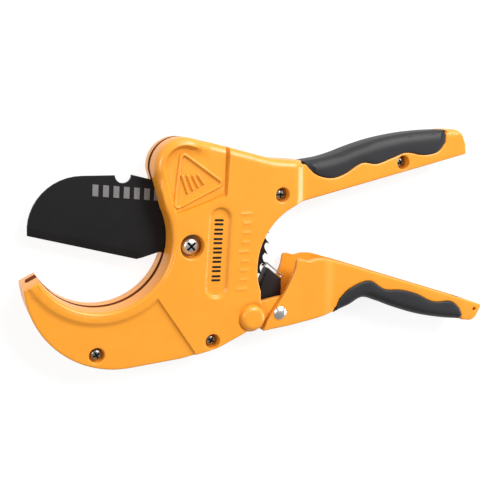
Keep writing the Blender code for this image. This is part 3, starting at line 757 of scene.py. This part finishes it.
def hook_lowering(points):
    """The hook's face lies lower than the body, behind a slanting step."""
    top, foot = np.array(HOOK_STEP_TOP), np.array(HOOK_STEP_FOOT)
    along = unit(foot - top)
    rel = points - top
    across = rel[:, 0] * along[1] - rel[:, 1] * along[0]
    from_rim = np.hypot(*(points - JAW_CENTRE).T) - JAW_RADIUS
    step = np.interp(across, *zip(*HOOK_STEP))
    edge = np.interp(from_rim, *zip(*HOOK_BORDER))
    return -HOOK_DROP * step * edge


def slope_to_handle(points):
    return -np.interp(points[:, 0], *zip(*HANDLE_SLOPE))


def crossing_rows(slope, low, high):
    """Rows along Y at each x of a slope that runs along X."""
    return [Relief([(x, low), (x, high)], GUIDE, closed=False, spacing=1.5) for x, _ in slope]


def hook_rows():
    """Lines of points along the hook's step and its border."""
    top, foot = Vector(HOOK_STEP_TOP), Vector(HOOK_STEP_FOOT)
    along = (foot - top).normalized()
    across = Vector((along.y, -along.x))
    made = []
    for offset, _ in HOOK_STEP:
        a = top - along * 2 + across * offset
        b = foot + along * 6 + across * offset
        made.append(Relief([tuple(a), tuple(b)], GUIDE, closed=False))
    for offset, _ in HOOK_BORDER:
        made.append(Relief(arc(JAW_CENTRE, JAW_RADIUS + offset, -160, -45), GUIDE, closed=False))
    return made


def grip_bed(line):
    """Where the rubber is let into the handle: a small fillet, then the lowered bed."""
    return Relief(line, BED, depth=-1.0, spacing=0.9)


def shell_edge():
    width = rim_radius(CASING)
    return Relief(CASING, rounding(), width=width, depth=width)


def inner_reliefs():
    """What is cut into the parting faces: the slot, its mouth in the hook's tip, the ears' room."""
    tip = outline(*arc(HOOK_CENTRE, HOOK_RADIUS - 2.4, 172, 191), (-72.0, -20.0), (-70.0, -5.0))
    return [Relief(line, CUT) for line in (slot_region(), tip, ear_region())]


def front_shell():
    edge = shell_edge()
    rim_line = Relief(arc(JAW_CENTRE, JAW_RADIUS + 2.1, 20, -150),
                      [(-0.22, 0.0), (0.0, 1.0), (0.22, 0.0)], depth=-0.16, closed=False)
    added = [edge, pocket(), boss(), rim_line, grip_bed(fixed_grip_outline()),
             hole((0, 0), 6.6, FACE - PIVOT_LEDGE), *front_marks()]
    for centre, ledge, face in HOUSING_SCREWS.values():
        added.append(hole(centre, 4.1, face - ledge))
    slot, tip, ears = inner_reliefs()
    rows = added + [slot, tip, ears] + hook_rows() + head_rows()
    rows += crossing_rows(HANDLE_SLOPE, 10.0, 46.0)
    flat, faces = triangulated(CASING, rows, 1.7)
    high = (FACE + sum_of(added, flat) + hook_lowering(flat) + head_lowering(flat)
            + slope_to_handle(flat))
    opened = np.maximum(slot.height(flat) * (SLOT_FRONT - PARTING_FRONT),
                        tip.height(flat) * (MOUTH_FRONT - PARTING_FRONT))
    room = ears.height(flat) * (EAR_ROOM_FRONT - PARTING_FRONT)
    low = PARTING_FRONT + np.maximum(opened, room)
    # The parting faces, the slot's inside among them, take the second material: painted shade.
    made = solid(flat, faces, np.maximum(high, low + THINNEST_WALL), low, inner="low")
    piece("front_casing", made, "casing_body", PAINT, ["front_shell"], second=SLOT_SHADE)


def rear_shell():
    edge = shell_edge()
    hexagon = Relief(circle((0, 0), 6.3, 6), [(-0.3, 0.0), (0.0, 0.3), (0.04, 5.2)])
    pin_seat = Relief(circle(HANDLE_AXIS, 5.0), [(-0.3, 0.0), (0.0, 0.3), (0.04, 1.8)])
    rib = Relief(resampled(arc(JAW_CENTRE, JAW_RADIUS + 6.0, -45, -150), 1.0, False),
                 [(-1.2, 0.0), (-0.4, 1.0), (0.4, 1.0), (1.2, 0.0)], depth=0.5, closed=False)
    slot, tip, ears = inner_reliefs()
    bed = grip_bed(fixed_grip_outline())
    added = [hexagon, pin_seat, rib]
    rows = [edge, slot, tip, ears, bed] + added
    rows += crossing_rows(HANDLE_SLOPE, 10.0, 46.0)
    flat, faces = triangulated(CASING, rows, 2.2)
    outer = (-edge.height(flat) - slope_to_handle(flat) - bed.height(flat)
             + sum_of(added, flat))
    opened = np.maximum(slot.height(flat) * (PARTING_REAR - SLOT_REAR),
                        tip.height(flat) * (PARTING_REAR - MOUTH_REAR))
    room = ears.height(flat) * (PARTING_REAR - EAR_ROOM_REAR)
    inner = PARTING_REAR - np.maximum(opened, room)
    # The parting faces, the slot's inside among them, take the second material: painted shade.
    made = solid(flat, faces, np.maximum(inner, outer + THINNEST_WALL), outer, inner="high")
    piece("rear_casing", made, "casing_body", PAINT, ["rear_shell"], second=SLOT_SHADE)


def grip(name, line, core, face, middle, body, node_name, outer_share, swell):
    """A rubber grip that wraps its handle: pillowed, with a narrow rounded rim along the wave.

    The first outer_share of the line is the side for the hand, whose rim is as wide as swell.
    """
    narrow_rim, deepest_rim, pillow_rise, pillow_reach, skin = 0.9, 4.6, 0.35, 4.0, 1.2
    line = resampled(line, 0.9)
    outer = np.arange(len(line)) < len(line) * outer_share
    width = smoothed(np.where(outer, swell, narrow_rim), 3)
    edge = Relief(line, rounding(6), width=width, depth=np.minimum(width, deepest_rim))
    inner = Relief(core, CUT)
    flat, faces = triangulated(line, [edge, inner], 1.6)
    from_edge = nearest(flat, line)[0]
    pillow = pillow_rise * (1 - np.exp(-from_edge / pillow_reach)) - pillow_rise
    high = face + edge.height(flat) + pillow
    low = middle + inner.height(flat) * (face - skin - middle)
    made = solid(flat, faces, np.maximum(high, low + 0.1), low, mirrored_at=middle)
    piece(name, made, body, RUBBER, [node_name])


def fixed_grip():
    """The core is the part of the casing's handle that fills the grip."""
    core = outline(
        (62.0, 10.0),
        (180.0, 30.0),
        (180.0, 56.5),
        (160.0, 56.3),
        *curve_through([(134.0, 54.5), (113.0, 51.5), (96.0, 46.9), (84.0, 43.1), (72.0, 41.5),
                        (62.0, 41.3)], 4),
    )
    grip("fixed_handle_grip", fixed_grip_outline(), core, FIXED_GRIP_FACE, MIDDLE,
         "casing_body", "fixed_grip", 0.47, 6.0)


# ---------------------------------------------------------------- blade

BLADE_TIP = (-82.3, 9.4)
BLADE_HEEL = (-26.7, -7.0)
# (distance from the cutting edge, half the blade's thickness there)
GRIND = ((0.0, 0.12), (0.8, 0.38), (4.2, 0.98), (4.6, 1.0))


def ratchet_edge():
    """The hooked teeth around the pivot, clockwise from the first."""
    root = TOOTH_TIP_RADIUS - TOOTH_DEPTH
    tooth = ((root, 0.80), (root + 0.1, 0.60), (root + 0.6, 0.42), (TOOTH_TIP_RADIUS, 0.0),
             (TOOTH_TIP_RADIUS - 0.1, -0.04), (root + 0.9, 0.06))
    return [polar((0, 0), radius, FIRST_TOOTH - i * TOOTH_PITCH + share * TOOTH_PITCH)
            for i in range(TOOTH_COUNT) for radius, share in tooth]


def blade_outline():
    last = FIRST_TOOTH - (TOOTH_COUNT - 1) * TOOTH_PITCH
    return outline(
        BLADE_TIP,
        (*BLADE_HEEL, 0.8),
        (-13.2, -3.6, 3.0),
        (-9.0, -9.0, 2.0),
        polar((0, 0), TOOTH_TIP_RADIUS - 8, last - 3),
        polar((0, 0), TOOTH_TIP_RADIUS - TOOTH_DEPTH, last - 3),
        *reversed(ratchet_edge()),
        polar((0, 0), TOOTH_TIP_RADIUS - 4.5, FIRST_TOOTH + 6),
        (12.0, 26.0, 20.0),
        (-19.4, 35.6),
        *arc((-32.6, 38.2), 4.4, 358, 182, 12),
        (-82.6, 39.0, 28.0),
    )


def blade():
    line = resampled(blade_outline(), 1.2)
    tip, heel = np.array(BLADE_TIP), np.array(BLADE_HEEL)
    along = unit(heel - tip)
    rows = []
    for offset, _ in GRIND[1:]:
        shift = np.array((-along[1], along[0])) * offset
        rows.append(Relief([tip + shift - along, heel + shift + along], GUIDE, closed=False))
    edge = Relief(line, [(0.0, -1.0), (0.06, -0.4), (0.15, 0.0)], depth=0.12)
    flat, faces = triangulated(line, rows + [edge], 3.0)
    rel = flat - tip
    across = rel[:, 1] * along[0] - rel[:, 0] * along[1]
    reach = rel @ along
    ground = np.interp(across, *zip(*GRIND))
    ground = np.where(reach < np.linalg.norm(heel - tip) + 2.0, ground, BLADE_FACE - BLADE_MIDDLE)
    high = np.maximum(BLADE_MIDDLE + ground + edge.height(flat), BLADE_MIDDLE + 0.1)
    low = np.full(len(flat), BLADE_MIDDLE)
    made = solid(flat, faces, high, low, mirrored_at=BLADE_MIDDLE)
    piece("cutting_blade", made, "blade_body", COATED, ["blade"], sharp=20)


def blade_marks():
    """A plain row of grey bars printed on the blade."""
    first_x, first_y, pitch, lean, width, film = -49.0, 28.0, 5.4, 0.4, 3.0, 0.06
    for i in range(7):
        x = first_x + pitch * i
        y = first_y - 0.12 * (x - first_x)
        bar = [(x, y), (x + width, y - 0.4), (x + width + lean, y + 5.6), (x + lean, y + 6.0)]
        piece(f"blade_mark_{i + 1}", plate(bar, BLADE_FACE, BLADE_FACE + film), "blade_body",
              MARK_GREY)


def pocket_marks():
    """Pairs of plain black bars printed down the sunken stadium."""
    level = FACE - POCKET_DEPTH
    film = 0.05
    low_end, high_end = POCKET_ENDS
    axis = Vector((low_end[0] - high_end[0], low_end[1] - high_end[1])).normalized()
    half = Vector((axis.y, -axis.x)) * 2.0
    first = Vector((15.7, 13.2))
    for i in range(14):
        centre = first + axis * (5.1 * (i // 2) + 2.2 * (i % 2))
        shape = stadium(tuple(centre - half), tuple(centre + half), 0.6)
        piece(f"pocket_mark_{i + 1}", plate(shape, level - film, level + film), "casing_body",
              MARK_BLACK)


# ---------------------------------------------------------------- moving handle

LOWER_EDGE = [(41.6, -51.4), (57.9, -50.1), (73.2, -48.1), (86.9, -45.5)]
MOVING_GRIP_FLOOR = [(87.2, -46.2), (97.5, -43.2), (106.8, -39.4), (117.0, -42.6), (128.7, -47.6),
                     (146.4, -54.0), (164.4, -58.4), (178.0, -60.7)]
MOVING_GRIP_WAVE = [(179.6, -58.0), (176.5, -52.4), (169.8, -47.9), (157.0, -46.8),
                    (144.3, -40.6), (132.6, -37.0), (121.2, -35.4), (110.5, -29.2), (98.1, -32.1),
                    (90.5, -38.2)]
LEVER_FLOOR = [(97.5, -40.9), (107.0, -37.0), (117.0, -40.2), (128.7, -45.2), (146.4, -51.6),
               (164.4, -56.0), (179.0, -58.6)]


def moving_grip_outline():
    return curve_through(MOVING_GRIP_FLOOR, 6) + curve_through(MOVING_GRIP_WAVE, 8)


def handle_outline():
    """The whole moving handle from the side: the wide front and the slimmer lever."""
    return outline(
        *LOWER_EDGE,
        (87.6, -43.6),
        *curve_through(LEVER_FLOOR, 4),
        (180.0, -61.2),
        (189.6, -62.9, 6.0),
        (195.3, -53.0, 1.5),
        (94.0, -17.4, 30.0),
        *curve_through([(86.9, -15.2), (80.4, -13.2), (74.5, -12.6), (69.0, -13.3), (65.2, -12.1),
                        (62.2, -12.6), (61.0, -18.0), (59.4, -21.8), (55.0, -30.1), (47.3, -41.0),
                        (43.6, -46.6)], 6),
    )


def handle_hollow():
    """The channel inside the moving handle, open at its front and top."""
    return outline(
        (20.0, -60.0),
        (39.0, -60.0),
        (41.0, -47.6),
        (60.0, -46.4),
        (75.0, -44.4),
        (84.0, -41.6),
        (96.0, -37.8, 4.0),
        (107.0, -33.8, 4.0),
        (128.7, -42.0, 8.0),
        (146.4, -48.4),
        (164.4, -52.6),
        (183.0, -55.4, 2.0),
        (186.0, -40.0),
        (120.0, 8.0),
        (20.0, -2.0),
    )


def slope_to_lever(points):
    return -LEVER_DROP * np.interp(points[:, 0], *zip(*LEVER_SLOPE))


def moving_handle():
    wall = 2.6
    line = resampled(handle_outline(), 1.0)
    width = np.full(len(line), 1.0)
    edge = Relief(line, rounding(4), width=width, depth=width)
    hollow = Relief(handle_hollow(), CUT)
    bed = Relief(resampled(moving_grip_outline(), 0.9), BED, depth=-0.8)
    lanyard = Relief(circle((189.4, -55.2), 1.2, 24), [(-0.4, 0.0), (0.0, 0.3), (0.04, 9.0)],
                     depth=-1.0)
    added = [edge, bed, lanyard]
    rows = added + [hollow] + crossing_rows(LEVER_SLOPE, -50.0, -10.0)
    flat, faces = triangulated(line, rows, 1.8)
    high = CHANNEL_FACE + sum_of(added, flat) + slope_to_lever(flat)
    inner = CHANNEL_FACE - wall + slope_to_lever(flat)
    low = HANDLE_MIDDLE + hollow.height(flat) * (inner - HANDLE_MIDDLE)
    made = solid(flat, faces, np.maximum(high, low), low, mirrored_at=HANDLE_MIDDLE)
    ears = outline(
        *arc(HANDLE_AXIS, 6.8, 90, 270),
        (44.0, -50.6),
        (56.0, -46.0),
        (56.0, -33.0),
        (48.0, -34.0),
    )
    data = combined(made, [plate(ears, 17.8, 21.0, 0.3), plate(ears, 4.0, 7.2, 0.3)], "UNION")
    piece("moving_lever", data, "handle_body", PAINT, ["moving_handle"])


def moving_grip():
    core = outline(
        (80.0, -44.0),
        *curve_through([(87.6, -43.9), (97.5, -41.2), (107.0, -37.3), (117.0, -40.5),
                        (128.7, -45.5), (146.4, -51.9), (164.4, -56.3), (179.0, -58.9)], 4),
        (190.0, -60.8),
        (190.0, -10.0),
        (80.0, -10.0),
    )
    grip("moving_handle_grip", moving_grip_outline(), core, MOVING_GRIP_FACE, HANDLE_MIDDLE,
         "handle_body", "moving_grip", 0.46, 4.4)


# ---------------------------------------------------------------- fasteners, pawl and spring

def phillips(centre, reach, width, bottom, top, turn):
    """The crossed slots of a Phillips recess, as two cutters."""
    made = []
    for angle in (turn, turn + 90):
        along = Vector(polar((0, 0), reach, angle))
        across = Vector(polar((0, 0), width / 2, angle + 90))
        middle = Vector(centre)
        corners = [middle - along - across, middle + along - across,
                   middle + along + across, middle - along + across]
        made.append(plate([tuple(c) for c in corners], bottom, top))
    return made


def paint_recess_shade(made, centre, turn, width, top):
    """Gives the faces inside a cross recess a near-black colour: painted shade in the slots.
    top(radius) is the head's height.
    """
    half_slot, skin, reach, deepest = width * 0.52, 0.12, 3.4, 3.5
    made.data.materials.append(RECESS_SHADE)
    middle = DATUM + Vector((*centre, 0)) * MM
    unspin = Matrix.Rotation(-math.radians(turn), 2)
    for face in made.data.polygons:
        rel = (face.center - middle) / MM
        spun = unspin @ rel.xy
        within = min(abs(spun.x), abs(spun.y)) < half_slot and rel.xy.length < reach
        under = top(rel.xy.length) - rel.z
        if within and skin < under < deepest:
            face.material_index = 1


def housing_screws():
    slot = 0.85
    for i, (name, (centre, ledge, _)) in enumerate(HOUSING_SCREWS.items()):
        floor = ledge + 0.3
        profile = [(0, floor + 2.0), (1.0, floor + 1.97), (2.0, floor + 1.75),
                   (2.7, floor + 1.35), (3.1, floor + 0.8), (3.2, floor + 0.5), (3.2, floor),
                   (1.6, floor), (1.6, 5.8), (0, 5.4)]
        turn = 25 + 31 * i
        data = combined(turned(profile, centre, 48),
                        phillips(centre, 2.0, slot, floor + 0.6, floor + 3, turn), "DIFFERENCE")
        made = piece(f"case_screw_{i + 1}", data, "casing_body", STEEL, [name])
        paint_recess_shade(made, centre, turn, slot, head_height(profile))


def pivot_screw():
    under, slot, turn = 20.0, 1.15, 40
    profile = [(0, under + 3.2), (1.5, under + 3.18), (2.7, under + 3.0), (3.6, under + 2.6),
               (4.3, under + 1.95), (4.7, under + 1.2), (4.9, under + 0.4), (4.9, under),
               (3.0, under), (3.0, 1.0), (2.5, 0.5), (0, 0.5)]
    cutters = phillips((0, 0), 2.9, slot, under + 1.0, under + 5, turn)
    data = combined(turned(profile, (0, 0)), cutters, "DIFFERENCE")
    made = piece("pivot_bolt", data, "casing_body", PIVOT_FINISH,
                 ["blade_pivot_screw"])
    paint_recess_shade(made, (0, 0), turn, slot, head_height(profile))


def head_height(profile):
    """The height of a turned head's top at a radius."""
    top = [point for i, point in enumerate(profile) if i == 0 or point[0] > profile[i - 1][0]]
    radii, heights = zip(*top)
    return lambda radius: float(np.interp(radius, radii, heights))


def rivet():
    top, rear = 24.6, 2.4
    profile = [(0, top + 1.5), (1.4, top + 1.4), (2.5, top + 1.1), (3.4, top + 0.6),
               (3.85, top + 0.15), (3.9, top - 0.2), (2.2, top - 0.2), (2.2, rear), (3.4, rear),
               (3.2, rear - 0.5), (2.4, rear - 1.0), (0, rear - 1.3)]
    piece("pawl_pin", turned(profile, PAWL_AXIS), "handle_body", PIVOT_FINISH,
          ["pawl_rivet"])


def pawl():
    points = outline(
        (46.6, -46.2, 4.0),
        (56.0, -46.2, 4.0),
        (56.6, -24.6, 1.0),
        (48.9, -17.8),
        (47.8, -18.6),
        (46.1, -22.4),
        (44.4, -25.6),
        (43.3, -29.0),
        (43.5, -31.4),
        (43.7, -36.6, 2.0),
    )
    piece("ratchet_pawl", plate(points, 7.6, 15.0, 0.5), "pawl_body", DARK,
          ["pawl"], sharp=50)
    leaf = outline(
        (57.2, -24.3), (58.4, -23.4, 0.7), (47.6, -13.9, 0.7), (45.2, -16.2), (45.8, -16.9),
        (47.9, -15.2), (57.3, -23.3), (56.8, -23.8),
    )
    piece("pawl_leaf", plate(leaf, 12.0, 14.6, 0.08, 1), "pawl_body", CHROME,
          ["pawl_spring"])


def carried_over():
    """The CAD nodes that stay take procedural finishes."""
    looks = {
        "blade_pivot_nut": STEEL, "spring_washer": STEEL, "thrust_washer_front": STEEL,
        "thrust_washer_rear": STEEL, "handle_pivot_pin": STEEL, "handle_return_spring": STEEL,
        "blade_bushing": BRONZE, "handle_bush_front": BRONZE, "handle_bush_rear": BRONZE,
    }
    for name, look in looks.items():
        shown = frame["nodes"][name]
        for entry in shown.material_slots:
            entry.material = look


# ---------------------------------------------------------------- studio

def floor():
    mesh = bpy.data.meshes.new("floor")
    reach, gap = 4.0, 0.0005
    mesh.from_pydata([(-reach, -reach, 0), (reach, -reach, 0), (reach, reach, 0),
                      (-reach, reach, 0)], [], [(0, 1, 2, 3)])
    made = bpy.data.objects.new("floor", mesh)
    made.location.z = -gap
    look = finish_material("pale_floor", (0.16, 0.16, 0.16), (0.15, 0.15, 0.15), (0.8, 0.9),
                           40, 0.0001, specular=0.1)
    shader = look.node_tree.nodes["Principled BSDF"]
    shader.inputs["Emission Color"].default_value = (1, 1, 1, 1)
    shader.inputs["Emission Strength"].default_value = 0.86
    mesh.materials.append(look)
    bpy.context.scene.collection.objects.link(made)


def area_light(name, place, target, size, power):
    """A rectangular softbox: metres and watts."""
    data = bpy.data.lights.new(name, "AREA")
    data.shape = "RECTANGLE"
    data.size, data.size_y = size
    data.energy = power
    made = bpy.data.objects.new(name, data)
    made.location = place
    made.rotation_euler = (Vector(target) - Vector(place)).to_track_quat("-Z", "Y").to_euler()
    bpy.context.scene.collection.objects.link(made)


def studio():
    world = bpy.data.worlds.new("studio")
    world.use_nodes = True
    world.node_tree.nodes["Background"].inputs["Color"].default_value = (1, 1, 1, 1)
    world.node_tree.nodes["Background"].inputs["Strength"].default_value = 0.36
    bpy.context.scene.world = world
    bpy.context.scene.view_settings.view_transform = "Standard"
    area_light("key", (0.48, 0.64, 0.92), (0, 0, 0), (0.5, 0.5), 14.6)
    area_light("back_strip", (0.42, 0.90, 0.46), (0, 0, 0.01), (1.2, 0.12), 7)
    area_light("right_box", (1.0, -0.2, 0.15), (0, 0, 0.01), (0.5, 0.22), 4.5)
    area_light("left_box", (-0.78, 0.24, 0.66), (0, 0, 0.01), (0.3, 0.24), 4.2)


def camera():
    focal_length, picture_width = 760.0, 500.0
    data = bpy.data.cameras.new("camera")
    data.sensor_width = 36.0
    data.lens = data.sensor_width * focal_length / picture_width
    data.clip_start = 0.01
    data.clip_end = 20.0
    made = bpy.data.objects.new("camera", data)
    right = Vector((0.921, 0.0, 0.390)).normalized()
    back = Vector((-0.382, 0.197, 0.903)).normalized()
    up = back.cross(right).normalized()
    right = up.cross(back)
    place = DATUM + Vector((-125.3, 77.5, 398.8)) * MM
    made.matrix_world = Matrix((
        (right.x, up.x, back.x, place.x),
        (right.y, up.y, back.y, place.y),
        (right.z, up.z, back.z, place.z),
        (0, 0, 0, 1),
    ))
    bpy.context.scene.collection.objects.link(made)
    bpy.context.scene.camera = made


camera()
front_shell()
rear_shell()
fixed_grip()
blade()
blade_marks()
pocket_marks()
moving_handle()
moving_grip()
housing_screws()
pivot_screw()
rivet()
pawl()
carried_over()
floor()
studio()
